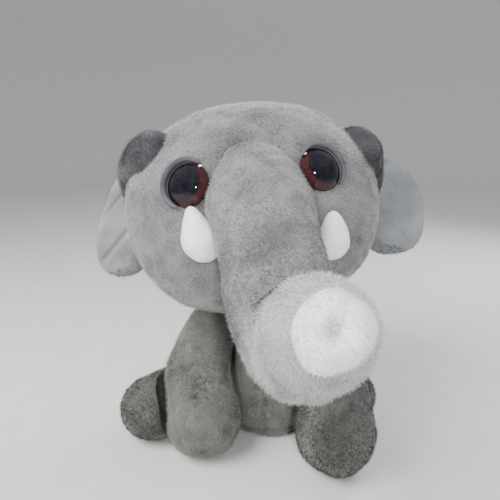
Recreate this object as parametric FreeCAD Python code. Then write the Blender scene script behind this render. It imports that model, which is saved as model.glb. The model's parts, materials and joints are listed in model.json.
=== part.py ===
"""A sitting stuffed elephant, sewn from short-pile plush, with safety eyes, felt tusks and soft jointed limbs.

The elephant faces -Y, +X is its own left side and +Z is up. The origin is on the floor, under the middle of
the flat patch that it sits on. Head pieces are built in the head's own frame, whose origin is the middle of
the skull, and are then set on the neck with the head's turn and lean.
"""
import FreeCAD, Part
import math
import os

from FreeCAD import Placement, Rotation, Vector

# Driving dimensions, in millimetres and degrees.
SKIN = 1.5                # plush fabric with its backing
GAP = 0.5                 # air between a moving piece and what it moves in
HAIR = 0.05               # what keeps two balls on one middle, or two touching pieces, from sharing a surface
LINK_HAIR = 0.12          # how much smaller a link of a limb starts than the one before it ended
NECK = Vector(0, 3, 77.5)
NECK_RADIUS = 12.0

# The torso is a pear, turned about a vertical line: (radius, height) from its flat seat to its top.
TORSO_AXIS = Vector(0, 5, 0)
TORSO_PROFILE = [(28, 0), (34, 9), (35, 20), (30, 40), (23, 57), (13, 71.5), (0, 75.5)]
POUCH_RADII = (12.5, 22, 9)
POUCH_HEIGHT = 14.0
LABEL_SIZE = (14.0, 9.0, 0.5)        # how far it stands out, its height and its thickness
LABEL_PLACE = (33.0, 125.0, 13.0)     # distance from the torso's axis, direction and height

# The head.
HEAD_TURN = 3.5
HEAD_LEAN = -6.5
HEAD_RADII = (70.0, 60.0, 57.5)
HEAD_OFFSET = Vector(-2, -9, 58.8)    # from the neck's pivot to the middle of the skull

# The trunk, as a chain of balls in the head's frame. It bends at the fourth.
TRUNK_ROOT = [((0, -34, 17), 23), ((1, -58, 5), 23), ((3, -78, -11), 21), ((4, -96, -25), 19)]
TRUNK_END = [((4, -96, -25), 19), ((6, -114, -29), 18.5), ((9, -130, -20), 18.5)]
TRUNK_TIP_AIM = Vector(0.33, -0.82, 0.44)
TRUNK_RANGE = (-12, 30)
TIP_DISC_RADIUS = 13.0
TIP_DISC_THICKNESS = 1.8

# Eyes: places on the skull's surface, and the parts of one safety eye.
EYE_X = {"right": -30.0, "left": 31.0}
EYE_Z = 21.0
EYE_RADIUS = 10.5
EYE_DOME_HEIGHT = 5.5
IRIS_RADIUS = 9.4
IRIS_THICKNESS = 0.7
PUPIL_RADIUS = 7.4
PUPIL_THICKNESS = 0.5
PUPIL_SHIFT = 1.4         # the pupil sits towards the outside of the eye
PLATE_THICKNESS = 1.0
SHANK_RADIUS = 2.2
SHANK_LENGTH = 12.0
WASHER_RADIUS = 8.0
WASHER_THICKNESS = 1.0
WASHER_DEPTH = 4.5
LID_WIDTH = 2.6
LID_HEIGHT = 2.4
LID_SLANT = 50.0          # how far the lid is turned from the top of the eye to its outside

# Tusks, in the head's frame: the round end and the pointed end of each.
TUSKS = {
    "right": (Vector(-26, -61, -11), Vector(-30, -57, 17)),
    "left": (Vector(29, -62, -16), Vector(34, -57, 8)),
}
TUSK_RADIUS = 7.0

# Ears, in the head's frame: middle, half width, half height, turn and tilt of the sheet.
EARS = {
    "right": (Vector(-79, 13, -4), 21.0, 30.0, -12.0, 12.0),
    "left": (Vector(86, 13, -13), 23.0, 28.0, 12.0, -8.0),
}
EAR_SHEET = 1.6
EAR_FOLDS = {"right": (Vector(-64, 2, 30), 16.0), "left": (Vector(67, 2, 29), -16.0)}
FOLD_RADII = (11.0, 4.5, 18.0)
EAR_RANGE = (-15, 25)

# Limbs and tail: chains of balls from the joint outwards.
ARMS = {
    "right": [((-32, 0, 61), 16), ((-39, -20, 42), 19), ((-35, -36, 20.7), 20.5)],
    "left": [((31, -3, 62), 16), ((38, -26, 43), 19), ((36.5, -50, 20.7), 20.5)],
}
ARM_RANGE = (-3, 40)
LEGS = {
    "right": [((-31, 6, 19), 13), ((-67, -23, 17.7), 17.5)],
    "left": [((31, 9, 19), 13), ((53, -7, 17.7), 17.5)],
}
LEG_RANGE = (-2, 20)
TAIL = [((0, 40, 25), 4.5), ((0, 54, 19), 4.0), ((1, 60, 12), 5.0)]
TAIL_RANGE = (-10, 35)

HEAD = Placement(NECK, Rotation(Vector(0, 0, 1), HEAD_TURN) * Rotation(Vector(0, 1, 0), HEAD_LEAN))
HEAD = HEAD * Placement(HEAD_OFFSET, Rotation())


def ball(middle, radius):
    return Part.makeSphere(radius, Vector(*middle))


def ellipsoid(middle, radii):
    """An ellipsoid with its axes along X, Y and Z."""
    stretch = FreeCAD.Matrix()
    stretch.scale(Vector(*radii))
    stretch.move(Vector(*middle))
    return Part.makeSphere(1).transformGeometry(stretch)


def placed(shape, placement):
    """A copy of the shape, carried by the placement."""
    copy = shape.copy()
    copy.transformShape(placement.toMatrix())
    return copy


def turned(shape, pivot, axis, angle):
    return placed(shape, Placement(Vector(), Rotation(axis, angle), pivot))


def largest(shape):
    """The shape's biggest solid: cutting can leave crumbs beside it."""
    return max(shape.Solids, key=lambda solid: solid.Volume)


def capsule(start, start_radius, end, end_radius):
    """A ball at each end, joined by the cone that is tangent to both, as one turned solid."""
    along = end - start
    length = along.Length
    slope = math.asin((start_radius - end_radius) / length)
    sine, cosine = math.sin(slope), math.cos(slope)
    low = Vector(start_radius * cosine, 0, start_radius * sine)
    high = Vector(end_radius * cosine, 0, length + end_radius * sine)
    low_middle = math.radians(-90) + (slope + math.radians(90)) / 2
    high_middle = (slope + math.radians(90)) / 2
    outline = [
        Part.Arc(
            Vector(0, 0, -start_radius),
            Vector(start_radius * math.cos(low_middle), 0, start_radius * math.sin(low_middle)),
            low,
        ).toShape(),
        Part.LineSegment(low, high).toShape(),
        Part.Arc(
            high,
            Vector(end_radius * math.cos(high_middle), 0, length + end_radius * math.sin(high_middle)),
            Vector(0, 0, length + end_radius),
        ).toShape(),
        Part.LineSegment(Vector(0, 0, length + end_radius), Vector(0, 0, -start_radius)).toShape(),
    ]
    solid = Part.Face(Part.Wire(outline)).revolve(Vector(), Vector(0, 0, 1), 360)
    return placed(solid, Placement(start, Rotation(Vector(0, 0, 1), along)))


def chain(balls, grow=0.0):
    """Balls joined by cones, all grown by the same amount. Each link starts a hair smaller than the last ended."""
    links = []
    for index in range(len(balls) - 1):
        (start, start_radius), (end, end_radius) = balls[index], balls[index + 1]
        hair = LINK_HAIR if index else 0.0
        links.append(capsule(Vector(*start), start_radius + grow - hair, Vector(*end), end_radius + grow))
    return links[0] if len(links) == 1 else links[0].multiFuse(links[1:])


def cleared(solid, spaces):
    """The solid, cut away where any of the spaces reaches it."""
    for space in spaces:
        solid = solid.cut(space)
    return largest(solid)


def sweep(balls, axis, limits, count):
    """The space that a chain of balls needs as it turns about its first ball, over a joint's range and a bit more."""
    spaces = []
    for index in range(count):
        angle = limits[0] - 1 + (limits[1] - limits[0] + 2) * index / (count - 1)
        form = chain(balls, GAP + HAIR * index)
        spaces.append(turned(form, Vector(*balls[0][0]), axis, angle))
    return spaces


def stuffed(outer, inner):
    """A sewn skin and the stuffing that fills it."""
    return outer.cut(inner), inner


def torso_form(inset):
    """The pear, with its outline moved in by the inset."""
    top = TORSO_PROFILE[-1][1]
    points = []
    for radius, height in TORSO_PROFILE:
        points.append(Vector(max(radius - inset, 0), 0, inset + height * (top - 2 * inset) / top))
    side = Part.BSplineCurve()
    side.interpolate(points)
    foot = Vector(0, 0, points[0].z)
    base = Part.LineSegment(foot, points[0])
    axis = Part.LineSegment(points[-1], foot)
    outline = Part.Wire([base.toShape(), side.toShape(), axis.toShape()])
    solid = Part.Face(outline).revolve(Vector(), Vector(0, 0, 1), 360)
    return placed(solid, Placement(TORSO_AXIS, Rotation()))


def swing_axis(balls):
    """The level axis that lifts a limb when it turns by a positive angle."""
    along = Vector(*balls[-1][0]) - Vector(*balls[0][0])
    return Vector(along.y, -along.x, 0).normalize()


def limb(parts, name, balls, spaces=()):
    """A stuffed limb, cut clear of the given spaces."""
    skin, stuffing = stuffed(chain(balls), chain(balls, -SKIN))
    parts[name + "_skin"] = cleared(skin, spaces)
    parts[name + "_stuffing"] = cleared(stuffing, spaces)


def make_limbs(parts):
    """Forelegs, hind legs and tail. A hind leg is dented where the foreleg in front of it rests and swings."""
    for side, balls in ARMS.items():
        limb(parts, "foreleg_" + side, balls)
    for side, balls in LEGS.items():
        spaces = sweep(ARMS[side], swing_axis(ARMS[side]), ARM_RANGE, 5)
        resting = chain(ARMS[side], GAP)
        hip = Vector(*balls[0][0])
        for mover, angle in ((resting, LEG_RANGE[0]), (resting, LEG_RANGE[1]), (spaces[-1], LEG_RANGE[1])):
            spaces.append(turned(mover, hip, swing_axis(balls), -angle))
        limb(parts, "hind_leg_" + side, balls, spaces)
    limb(parts, "tail", TAIL)


def make_torso(parts):
    """The pear-shaped body, hollowed where the neck, limbs and tail are set in, with its pouch of pellets."""
    spaces = [ball(NECK, NECK_RADIUS + GAP)]
    for group, limits in ((ARMS, ARM_RANGE), (LEGS, LEG_RANGE), ({"": TAIL}, TAIL_RANGE)):
        for balls in group.values():
            spaces += sweep(balls, swing_axis(balls), limits, 3)
    skin, stuffing = stuffed(torso_form(0), torso_form(SKIN))
    pouch = ellipsoid(TORSO_AXIS + Vector(0, 0, POUCH_HEIGHT), POUCH_RADII)
    length, height, thickness = LABEL_SIZE
    distance, direction, rise = LABEL_PLACE
    label = Part.makeBox(length, thickness, height, TORSO_AXIS + Vector(distance, 0, rise))
    label = turned(label, TORSO_AXIS, Vector(0, 0, 1), direction)
    parts["torso_skin"] = cleared(skin, spaces)
    parts["torso_stuffing"] = cleared(stuffing, spaces).cut(pouch)
    parts["pellet_pouch"] = pouch
    parts["care_label"] = label.cut(torso_form(0))
    parts["neck_stuffing"] = ball(NECK, NECK_RADIUS)


def skull_normal(x, y, z):
    """The skull's outward direction at a point of its surface."""
    rx, ry, rz = HEAD_RADII
    return Vector(x / rx**2, y / ry**2, z / rz**2).normalize()


def eye_parts(parts, side):
    """One safety eye on the skull, and the space that it takes out of skin and stuffing, in the head's frame."""
    rx, ry, rz = HEAD_RADII
    x = EYE_X[side]
    y = -ry * math.sqrt(1 - (x / rx) ** 2 - (EYE_Z / rz) ** 2)
    seat = Vector(x, y, EYE_Z)
    out = skull_normal(*seat)
    outward = 1 if side == "left" else -1

    def disc(radius, low, high, shift=0.0):
        across = Vector(0, 0, 1).cross(out).normalize() * (outward * shift)
        return Part.makeCylinder(radius, high - low, seat + across + out * low, out)

    plate = disc(EYE_RADIUS, -PLATE_THICKNESS, 0)
    post = disc(SHANK_RADIUS, -PLATE_THICKNESS - SHANK_LENGTH, -PLATE_THICKNESS)
    iris = disc(IRIS_RADIUS, 0, IRIS_THICKNESS)
    pupil = disc(PUPIL_RADIUS, IRIS_THICKNESS, IRIS_THICKNESS + PUPIL_THICKNESS, PUPIL_SHIFT)
    dome_radius = (EYE_RADIUS**2 + EYE_DOME_HEIGHT**2) / (2 * EYE_DOME_HEIGHT)
    dome_ball = ball(seat + out * (EYE_DOME_HEIGHT - dome_radius), dome_radius)
    dome = dome_ball.common(disc(EYE_RADIUS, 0, 2 * EYE_DOME_HEIGHT)).cut(iris).cut(pupil)
    washer = disc(WASHER_RADIUS, -WASHER_DEPTH, WASHER_THICKNESS - WASHER_DEPTH)
    lid = disc(EYE_RADIUS + LID_WIDTH, -PLATE_THICKNESS, LID_HEIGHT).cut(disc(EYE_RADIUS, -EYE_RADIUS, LID_HEIGHT))
    span = 2 * (EYE_RADIUS + LID_WIDTH)
    below = Part.makeBox(span, span, span, Vector(-span / 2, -span / 2, -span))
    slant = Rotation(Vector(0, 1, 0), outward * LID_SLANT)
    lid = lid.cut(placed(below, Placement(seat, slant)))
    parts["eye_shank_" + side] = plate.fuse(post)
    parts["eye_iris_" + side] = iris
    parts["eye_pupil_" + side] = pupil
    parts["eye_dome_" + side] = dome
    parts["eye_washer_" + side] = washer.cut(post)
    parts["eyelid_" + side] = largest(lid)
    well = disc(EYE_RADIUS, -PLATE_THICKNESS, 2 * EYE_DOME_HEIGHT)
    return [well, post, washer, largest(lid)]


def tusk_form(root, tip):
    """A fat teardrop with its round end at the root."""
    length = (tip - root).Length + TUSK_RADIUS
    side = Part.BSplineCurve()
    heights = [0, 0.12, 0.35, 0.65, 0.9, 1]
    widths = [0, 0.72, 1, 0.74, 0.3, 0]
    side.interpolate([Vector(TUSK_RADIUS * w, 0, length * h) for w, h in zip(widths, heights)])
    axis = Part.LineSegment(Vector(0, 0, length), Vector())
    solid = Part.Face(Part.Wire([side.toShape(), axis.toShape()])).revolve(Vector(), Vector(0, 0, 1), 360)
    aim = (tip - root).normalize()
    return placed(solid, Placement(root - aim * TUSK_RADIUS, Rotation(Vector(0, 0, 1), aim)))


def make_head(parts):
    """Skull, upper trunk, eyes and tusks, built in the head's frame."""
    skull = ellipsoid((0, 0, 0), HEAD_RADII)
    inner = ellipsoid((0, 0, 0), [radius - SKIN for radius in HEAD_RADII])
    skin, stuffing = stuffed(skull, inner)
    neck = HEAD.inverse().multVec(NECK)
    hollows = [ball(neck, NECK_RADIUS + GAP)]
    eyes = {}
    for side in EYE_X:
        hollows += eye_parts(eyes, side)
    for hollow in hollows:
        skin = skin.cut(hollow)
        stuffing = stuffing.cut(hollow)

    upper, upper_filling = stuffed(chain(TRUNK_ROOT), chain(TRUNK_ROOT, -SKIN))
    spaces = [skull] + sweep(TRUNK_END, Vector(-1, 0, 0), TRUNK_RANGE, 5)

    head = {
        "head_skin": largest(skin),
        "head_stuffing": largest(stuffing),
        "upper_trunk_skin": cleared(upper, spaces),
        "upper_trunk_stuffing": cleared(upper_filling, spaces),
    }
    trunk_root = chain(TRUNK_ROOT, 2 * HAIR)
    for side, (root, tip) in TUSKS.items():
        head["tusk_" + side] = largest(tusk_form(root, tip).cut(trunk_root).cut(skull))
    head.update(eyes)
    for name, shape in head.items():
        parts[name] = placed(shape, HEAD)


def make_lower_trunk(parts):
    """The end of the trunk, which lifts at the bend, with the round end patch set in its tip."""
    skin, stuffing = stuffed(chain(TRUNK_END), chain(TRUNK_END, -SKIN))
    aim = Vector(TRUNK_TIP_AIM).normalize()
    tip, tip_radius = TRUNK_END[-1]
    flat = math.sqrt(tip_radius**2 - TIP_DISC_RADIUS**2)
    face = Vector(*tip) + aim * flat
    beyond = Part.makeCylinder(2 * TIP_DISC_RADIUS, 2 * TIP_DISC_RADIUS, face, aim)
    parts["lower_trunk_skin"] = placed(skin.cut(beyond), HEAD)
    parts["lower_trunk_stuffing"] = placed(stuffing.cut(beyond), HEAD)
    disc = Part.makeCylinder(TIP_DISC_RADIUS, TIP_DISC_THICKNESS, face, aim)
    parts["trunk_tip_disc"] = placed(disc, HEAD)


def make_ear(parts, side):
    """A two-layer ear: smooth lining in front, plush behind, and its top corner folded forward over the face."""
    middle, half_width, half_height, turn, tilt = EARS[side]
    outward = 1 if side == "left" else -1
    hinge = Vector(middle) - Vector(outward * half_width, 0, 0)
    skull = ellipsoid((0, 0, 0), [radius + GAP for radius in HEAD_RADII])
    stand = Rotation(Vector(0, 0, 1), turn) * Rotation(Vector(0, 1, 0), tilt) * Rotation(Vector(1, 0, 0), 90)
    outline = Part.Wire(Part.Ellipse(Vector(), half_height, half_width).toShape())
    sheet = Part.Face(outline).extrude(Vector(0, 0, EAR_SHEET))
    sheet = placed(sheet, Placement(Vector(), Rotation(Vector(0, 0, 1), 90)))
    back = placed(sheet, Placement(middle, stand, Vector()))
    lining = placed(sheet, Placement(middle + stand.multVec(Vector(0, 0, EAR_SHEET)), stand))
    fold_middle, fold_tilt = EAR_FOLDS[side]
    fold = ellipsoid((0, 0, 0), FOLD_RADII)
    fold = placed(fold, Placement(fold_middle, Rotation(Vector(0, 1, 0), fold_tilt)))
    fold = fold.cut(back).cut(lining)
    pieces = {"ear_back_": back, "ear_lining_": lining, "ear_fold_": fold}
    spaces = []
    for angle in (EAR_RANGE[0], EAR_RANGE[0] / 2, 0, EAR_RANGE[1] / 2, EAR_RANGE[1]):
        spaces.append(turned(skull, hinge, Vector(0, 0, 1), -outward * angle))
    for name, piece in pieces.items():
        parts[name + side] = placed(cleared(piece, spaces), HEAD)


def main():
    os.makedirs("parts", exist_ok=True)
    parts = {}
    make_limbs(parts)
    make_torso(parts)
    make_head(parts)
    make_lower_trunk(parts)
    for side in EARS:
        make_ear(parts, side)
    for name, shape in parts.items():
        largest(shape).exportStep("parts/" + name + ".step")


if __name__ == "__main__":
    main()
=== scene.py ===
"""The looks of a sitting stuffed elephant: short-pile plush over soft stuffing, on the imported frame.

Soft pieces are worked out in millimetres, from the places of the frame's joints and boxes and from the
dimensions below, and turned into metres when their meshes are made. The elephant faces -Y, and "left" is its
own left, towards +X.
"""
import bpy
import bmesh
import json
import math
import numpy as np
from mathutils import Matrix, Vector


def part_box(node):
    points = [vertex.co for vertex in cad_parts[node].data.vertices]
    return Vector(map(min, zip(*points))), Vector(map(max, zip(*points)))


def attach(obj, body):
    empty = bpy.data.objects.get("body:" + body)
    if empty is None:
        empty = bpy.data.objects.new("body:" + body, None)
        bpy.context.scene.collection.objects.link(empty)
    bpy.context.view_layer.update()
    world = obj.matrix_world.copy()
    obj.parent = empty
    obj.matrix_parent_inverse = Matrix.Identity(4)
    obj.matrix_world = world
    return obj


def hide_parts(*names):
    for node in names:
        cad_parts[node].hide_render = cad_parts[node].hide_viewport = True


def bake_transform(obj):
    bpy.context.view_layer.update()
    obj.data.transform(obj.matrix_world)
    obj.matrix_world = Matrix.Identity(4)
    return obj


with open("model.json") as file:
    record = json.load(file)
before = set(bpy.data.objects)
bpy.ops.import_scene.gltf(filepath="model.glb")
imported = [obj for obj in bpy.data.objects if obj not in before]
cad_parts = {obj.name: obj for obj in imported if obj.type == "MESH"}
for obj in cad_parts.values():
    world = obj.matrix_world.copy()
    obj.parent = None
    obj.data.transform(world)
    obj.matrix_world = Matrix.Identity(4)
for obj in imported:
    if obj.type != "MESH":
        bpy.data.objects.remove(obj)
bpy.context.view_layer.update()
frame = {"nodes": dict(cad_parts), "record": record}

MM = 0.001
PIVOTS = {joint["name"]: np.array(joint["pos_m"]) / MM for joint in frame["record"]["behaviour"]["joints"]}

# ---- Dimensions, in millimetres ----
HEAD_RADII = np.array([70.0, 60.0, 57.5])
HEAD_TURN = 3.5
HEAD_LEAN = -6.5
PILE_ROOM = 0.9          # how far the woven backing lies under the outline that the pile reaches

FLOOR_PILE = 0.1         # the lowest that a fibre's point lies, over the floor
FLOOR_CLOTH = 0.35       # the lowest that the woven backing lies

TRUNK_SPINE = [
    (0, -38, 14), (1, -58, 5), (2.5, -78, -11), (2.5, -96, -26), (4.5, -114, -31), (9.5, -128.5, -21),
]
TRUNK_RADII = [24.5, 24.0, 21.8, 20.2, 19.2, 18.0]
TRUNK_AIM = (0.14, -0.88, 0.35)
TRUNK_BEND_Y = -96       # where the trunk's darker half ends, in the head's frame
TRUNK_PALE_Y = -117      # where its pale end starts
PATCH_RADIUS = 11.6
PATCH_BARE = 10.4        # how much of the patch's circle has no grey pile



def from_pivot(joint, steps):
    """Points given from a joint's pivot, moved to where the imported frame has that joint."""
    return [PIVOTS[joint] + step for step in steps]


def box_middle(node):
    """The middle of a frame node's box at rest, in millimetres."""
    low, high = (np.array(corner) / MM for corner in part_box(node))
    return (low + high) / 2


FORELEGS = {             # from the shoulder's pivot to the paw
    "right": (from_pivot("foreleg_right_swing", [(0, 0, 0), (-7, -20, -19), (-3, -36, -40.3)]),
              [16, 19.5, 21.5]),
    "left": (from_pivot("foreleg_left_swing", [(0, 0, 0), (7, -23, -19), (5.5, -47, -41.3)]),
             [16, 19.5, 21.5]),
}
HIND_LEGS = {            # from the hip's pivot to the paw
    "right": (from_pivot("hind_leg_right_lift", [(0, 0, 0), (-19, -15, 1), (-36, -29, -0.5)]), [14, 18, 19]),
    "left": (from_pivot("hind_leg_left_lift", [(0, 0, 0), (12, -9, -0.5), (22, -16, -1.3)]), [14, 17, 17.5]),
}
LIMBS = list(FORELEGS.values()) + list(HIND_LEGS.values())
REST_GAP = 2.2           # room between a hind leg and its foreleg at rest, for the pile of both
LIFT_GAP = 0.6           # room between their backings as the hind leg lifts
LIFTS = (-6, -13, -20)   # the lifts, in degrees, that the dent leaves room for
TORSO_TOP = 74.6
NECK_RADII = (21.0, 20.0, 9.5)
TORSO_MIDDLE = box_middle("pellet_pouch")[:2]      # the pouch sits on the pear's upright axis
TORSO_PROFILE = [(0, 0), (28, 0), (34.5, 8), (36, 20), (32.5, 40), (26.5, 57), (18, 70), (0, 75.5)]
TAIL = (from_pivot("tail_lift", [(0, -2, 0), (0, 12, -5), (1, 19, -12)]), [4.5, 4.0, 5.0])

DARK_SPOTS = {               # where each limb's pile has a darker spot; the left foreleg's is the painted shadow of the trunk's tip
    "foreleg_right": from_pivot("foreleg_right_swing", [(-6, -45, -21)])[0],
    "foreleg_left": from_pivot("foreleg_left_swing", [(2, -67, -44)])[0],
    "hind_leg_right": from_pivot("hind_leg_right_lift", [(-40, -46, 1)])[0],
    "hind_leg_left": from_pivot("hind_leg_left_lift", [(29, -29, 6)])[0],
    "tail": from_pivot("tail_lift", [(0, 12, 0)])[0],
}

# Painted light and shade on each limb's pile: lighter on the right foreleg, darker on the left foreleg under
# the trunk's tip and on the hind legs.
LIMB_LIGHT_AND_SHADE = {"foreleg_right": 0.26, "foreleg_left": -0.4, "hind_leg_right": -0.55, "hind_leg_left": -0.4}

EYE_X = {"right": -30.0, "left": 31.0}
EYE_Z = 21.0
EYE_RADIUS = 10.5
EYE_HEIGHT = 5.5
PUPIL_RADIUS = 9.0

TUSKS = {
    "right": ((-25.5, -61, -5), (-30, -56, 12)),
    "left": ((30, -60, -11), (34, -56, 2)),
}
TUSK_RADIUS = 8.0

EARS = {
    "right": ((-79, 13, -4), 21.0, 30.0, -12.0, 12.0),
    "left": ((86, 13, -13), 23.0, 28.0, 12.0, -8.0),
}
FOLDS = {                # the roll of plush over each ear's top, from its round front end to the ear's root
    "right": ([(-47.5, -19, 35), (-54, -9, 32), (-63, 4, 23), (-68.5, 12, 11)], [13.0, 13.0, 9.5, 5.0]),
    "left": ([(57.5, -13, 25), (62, -5, 22), (69, 4, 12), (74, 11, 1)], [13.0, 13.0, 9.5, 5.0]),
}
OUTWARD = {"right": -1, "left": 1}
EAR_TRIM = {"right": 0.4, "left": 0.05}     # how much narrower than an ellipse the outer edge is
EAR_MIDDLE = 1.6         # how far the middle of an ear's thickness lies in front of its back


# ---- Geometry helpers ----
def head_matrix():
    """The head's own frame in millimetres: the middle of the skull, its turn and its lean."""
    low, high = (np.array(corner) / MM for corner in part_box("head_stuffing"))
    turn = Matrix.Rotation(math.radians(HEAD_TURN), 4, "Z") @ Matrix.Rotation(math.radians(HEAD_LEAN), 4, "Y")
    return Matrix.Translation((low + high) / 2) @ turn


HEAD = np.array(head_matrix())
HEAD_TURN_ONLY = HEAD[:3, :3]


def from_head(points):
    return np.asarray(points, float) @ HEAD_TURN_ONLY.T + HEAD[:3, 3]


def to_head(points):
    return (np.asarray(points, float) - HEAD[:3, 3]) @ HEAD_TURN_ONLY


def unit(vectors):
    vectors = np.asarray(vectors, float)
    return vectors / np.maximum(np.linalg.norm(vectors, axis=-1, keepdims=True), 1e-12)


def smoothstep(low, high, value):
    t = np.clip((value - low) / (high - low), 0, 1)
    return t * t * (3 - 2 * t)


def waves(points, size, seed, count=14):
    """Smooth noise of about -1 to 1 whose lumps are about size across, from a few crossing waves."""
    rng = np.random.default_rng(seed)
    directions = unit(rng.normal(size=(count, 3)))
    rates = 2 * math.pi / size * rng.uniform(0.45, 1.2, count)
    phases = rng.uniform(0, 2 * math.pi, count)
    return np.sin(points @ (directions * rates[:, None]).T + phases).sum(1) / math.sqrt(count)


def new_piece(name, points, faces, finish):
    """A mesh piece from points in millimetres in the row frame."""
    mesh = bpy.data.meshes.new(name)
    mesh.from_pydata((np.asarray(points) * MM).tolist(), [], [tuple(map(int, face)) for face in faces])
    mesh.validate()
    mesh.update()
    mesh.shade_smooth()
    piece = bpy.data.objects.new(name, mesh)
    bpy.context.scene.collection.objects.link(piece)
    mesh.materials.append(finish)
    return piece


def ball_grid(subdivisions):
    """Even unit directions and the triangles between them."""
    ball = bmesh.new()
    bmesh.ops.create_icosphere(ball, subdivisions=subdivisions, radius=1)
    points = np.array([vertex.co[:] for vertex in ball.verts])
    faces = np.array([[vertex.index for vertex in face.verts] for face in ball.faces])
    ball.free()
    return points, faces


def along_spline(points, values, count):
    """Places and values along a smooth curve through the points, evenly spaced by length."""
    points = np.asarray(points, float)
    data = np.hstack([points, np.asarray(values, float)[:, None]])
    ends = np.vstack([2 * data[0] - data[1], data, 2 * data[-1] - data[-2]])
    pieces = []
    for index in range(len(data) - 1):
        a, b, c, d = ends[index:index + 4]
        t = np.linspace(0, 1, 40, endpoint=index == len(data) - 2)[:, None]
        square, cube = 2 * a - 5 * b + 4 * c - d, 3 * b - a - 3 * c + d
        pieces.append(0.5 * (2 * b + (c - a) * t + square * t**2 + cube * t**3))
    fine = np.vstack(pieces)
    run = np.concatenate([[0], np.cumsum(np.linalg.norm(np.diff(fine[:, :3], axis=0), axis=1))])
    at = np.linspace(0, run[-1], count)
    return np.stack([np.interp(at, run, fine[:, column]) for column in range(fine.shape[1])], axis=1)


def bands(first, rows, around):
    """Quads between rings of points that follow each other, the first ring starting at an index."""
    faces = []
    for row in range(rows - 1):
        for step in range(around):
            following = (step + 1) % around
            low, high = first + row * around, first + (row + 1) * around
            faces.append((low + step, high + step, high + following, low + following))
    return faces


def rolled(rows, around):
    """Faces of rings of points closed at both ends by a pole, the poles being the last two points."""
    faces = []
    for row in range(rows - 1):
        for step in range(around):
            following = (step + 1) % around
            low, high = row * around, (row + 1) * around
            faces.append((low + step, low + following, high + following, high + step))
    pole = rows * around
    for step in range(around):
        following = (step + 1) % around
        faces.append((pole, following, step))
        faces.append((pole + 1, pole - around + step, pole - around + following))
    return faces


def tube(points, radii, rings=90, around=72, cap=18, end_flat=1.0):
    """A closed round tube with domed ends. end_flat under 1 flattens the far dome."""
    line = along_spline(points, radii, rings)
    middles, sizes = line[:, :3], line[:, 3]
    tangents = unit(np.gradient(middles, axis=0))
    angles = np.linspace(0, math.pi / 2, cap, endpoint=False)[1:]
    start = [
        (middles[0] - tangents[0] * sizes[0] * math.cos(a), sizes[0] * math.sin(a), tangents[0])
        for a in angles
    ]
    end = [
        (middles[-1] + tangents[-1] * sizes[-1] * end_flat * math.cos(a), sizes[-1] * math.sin(a),
         tangents[-1])
        for a in angles[::-1]
    ]
    body = list(zip(middles, sizes, tangents))
    rows = start + body + end
    reference = np.array([1.0, 0, 0])
    turn = np.linspace(0, 2 * math.pi, around, endpoint=False)
    grid = []
    for middle, size, tangent in rows:
        side = unit(reference - tangent * (reference @ tangent))
        up = np.cross(tangent, side)
        grid.append(middle + size * (np.cos(turn)[:, None] * side + np.sin(turn)[:, None] * up))
    grid = np.array(grid)
    first = middles[0] - tangents[0] * sizes[0]
    last = middles[-1] + tangents[-1] * sizes[-1] * end_flat
    verts = np.vstack([grid.reshape(-1, 3), first, last])
    return verts, rolled(len(rows), around)


def chain_distance(points, chain):
    """Signed distance to a chain of balls joined by cones, and the outward direction at each point."""
    middles, radii = np.asarray(chain[0], float), np.asarray(chain[1], float)
    best = np.full(len(points), 1e9)
    outward = np.zeros((len(points), 3))
    for index in range(len(middles) - 1):
        start, along = middles[index], middles[index + 1] - middles[index]
        t = np.clip((points - start) @ along / (along @ along), 0, 1)
        away = points - (start + t[:, None] * along)
        distance = np.linalg.norm(away, axis=1) - (radii[index] + t * (radii[index + 1] - radii[index]))
        nearer = distance < best
        best[nearer] = distance[nearer]
        outward[nearer] = unit(away[nearer])
    return best, outward


def pressed(points, chain, gap, blend=3.0):
    """Points moved out of a neighbour, as soft stuffing gives way, with a soft shoulder around the dent."""
    distance, outward = chain_distance(points, chain)
    push = np.where(distance < gap + blend, (gap + blend - distance), 0)
    push = np.where(distance < gap - blend, gap - distance, push**2 / (4 * blend))
    return points + outward * push[:, None]


def turned_chain(chain, pivot, axis, angle):
    """The same chain of balls, turned about a level or upright line through a pivot."""
    turn = np.array(Matrix.Rotation(math.radians(angle), 3, Vector(axis)))
    middles = [pivot + turn @ (np.array(middle, float) - pivot) for middle in chain[0]]
    return middles, chain[1]


def grounded(points, bulge=0.35):
    """Points kept above the floor, the cloth just over it spread outwards by the weight."""
    points = points.copy()
    middle = points.mean(0)
    low = np.clip((6 - points[:, 2]) / 6, 0, 1)
    away = unit(points[:, :2] - middle[:2])
    points[:, :2] += away * (bulge * low * 3)[:, None]
    points[:, 2] = np.maximum(points[:, 2], FLOOR_CLOTH)
    return points


def normals_of(points, faces):
    """Vertex normals of a mesh given as points and triangles or quads."""
    points = np.asarray(points, float)
    normals = np.zeros_like(points)
    triangles = triangles_of(faces)
    a, b, c = (points[triangles[:, corner]] for corner in range(3))
    flat = np.cross(b - a, c - a)
    for corner in range(3):
        np.add.at(normals, triangles[:, corner], flat)
    return unit(normals)


def triangles_of(faces):
    triangles = []
    for face in faces:
        for corner in range(1, len(face) - 1):
            triangles.append((face[0], face[corner], face[corner + 1]))
    return np.array(triangles)


def grown(points, faces, amount):
    """The mesh's points moved along its normals by an amount, one number or one for each point."""
    return points + normals_of(points, faces) * np.broadcast_to(amount, len(points))[:, None]


# ---- Materials ----
def material(name, roughness, color=(0.5, 0.5, 0.5), **sockets):
    """A Principled material with its constants set on the shader's own sockets."""
    made = bpy.data.materials.new(name)
    made.use_nodes = True
    shader = made.node_tree.nodes["Principled BSDF"]
    shader.inputs["Base Color"].default_value = (*color, 1)
    shader.inputs["Roughness"].default_value = roughness
    for socket, value in sockets.items():
        shader.inputs[socket.replace("_", " ")].default_value = value
    return made


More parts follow.
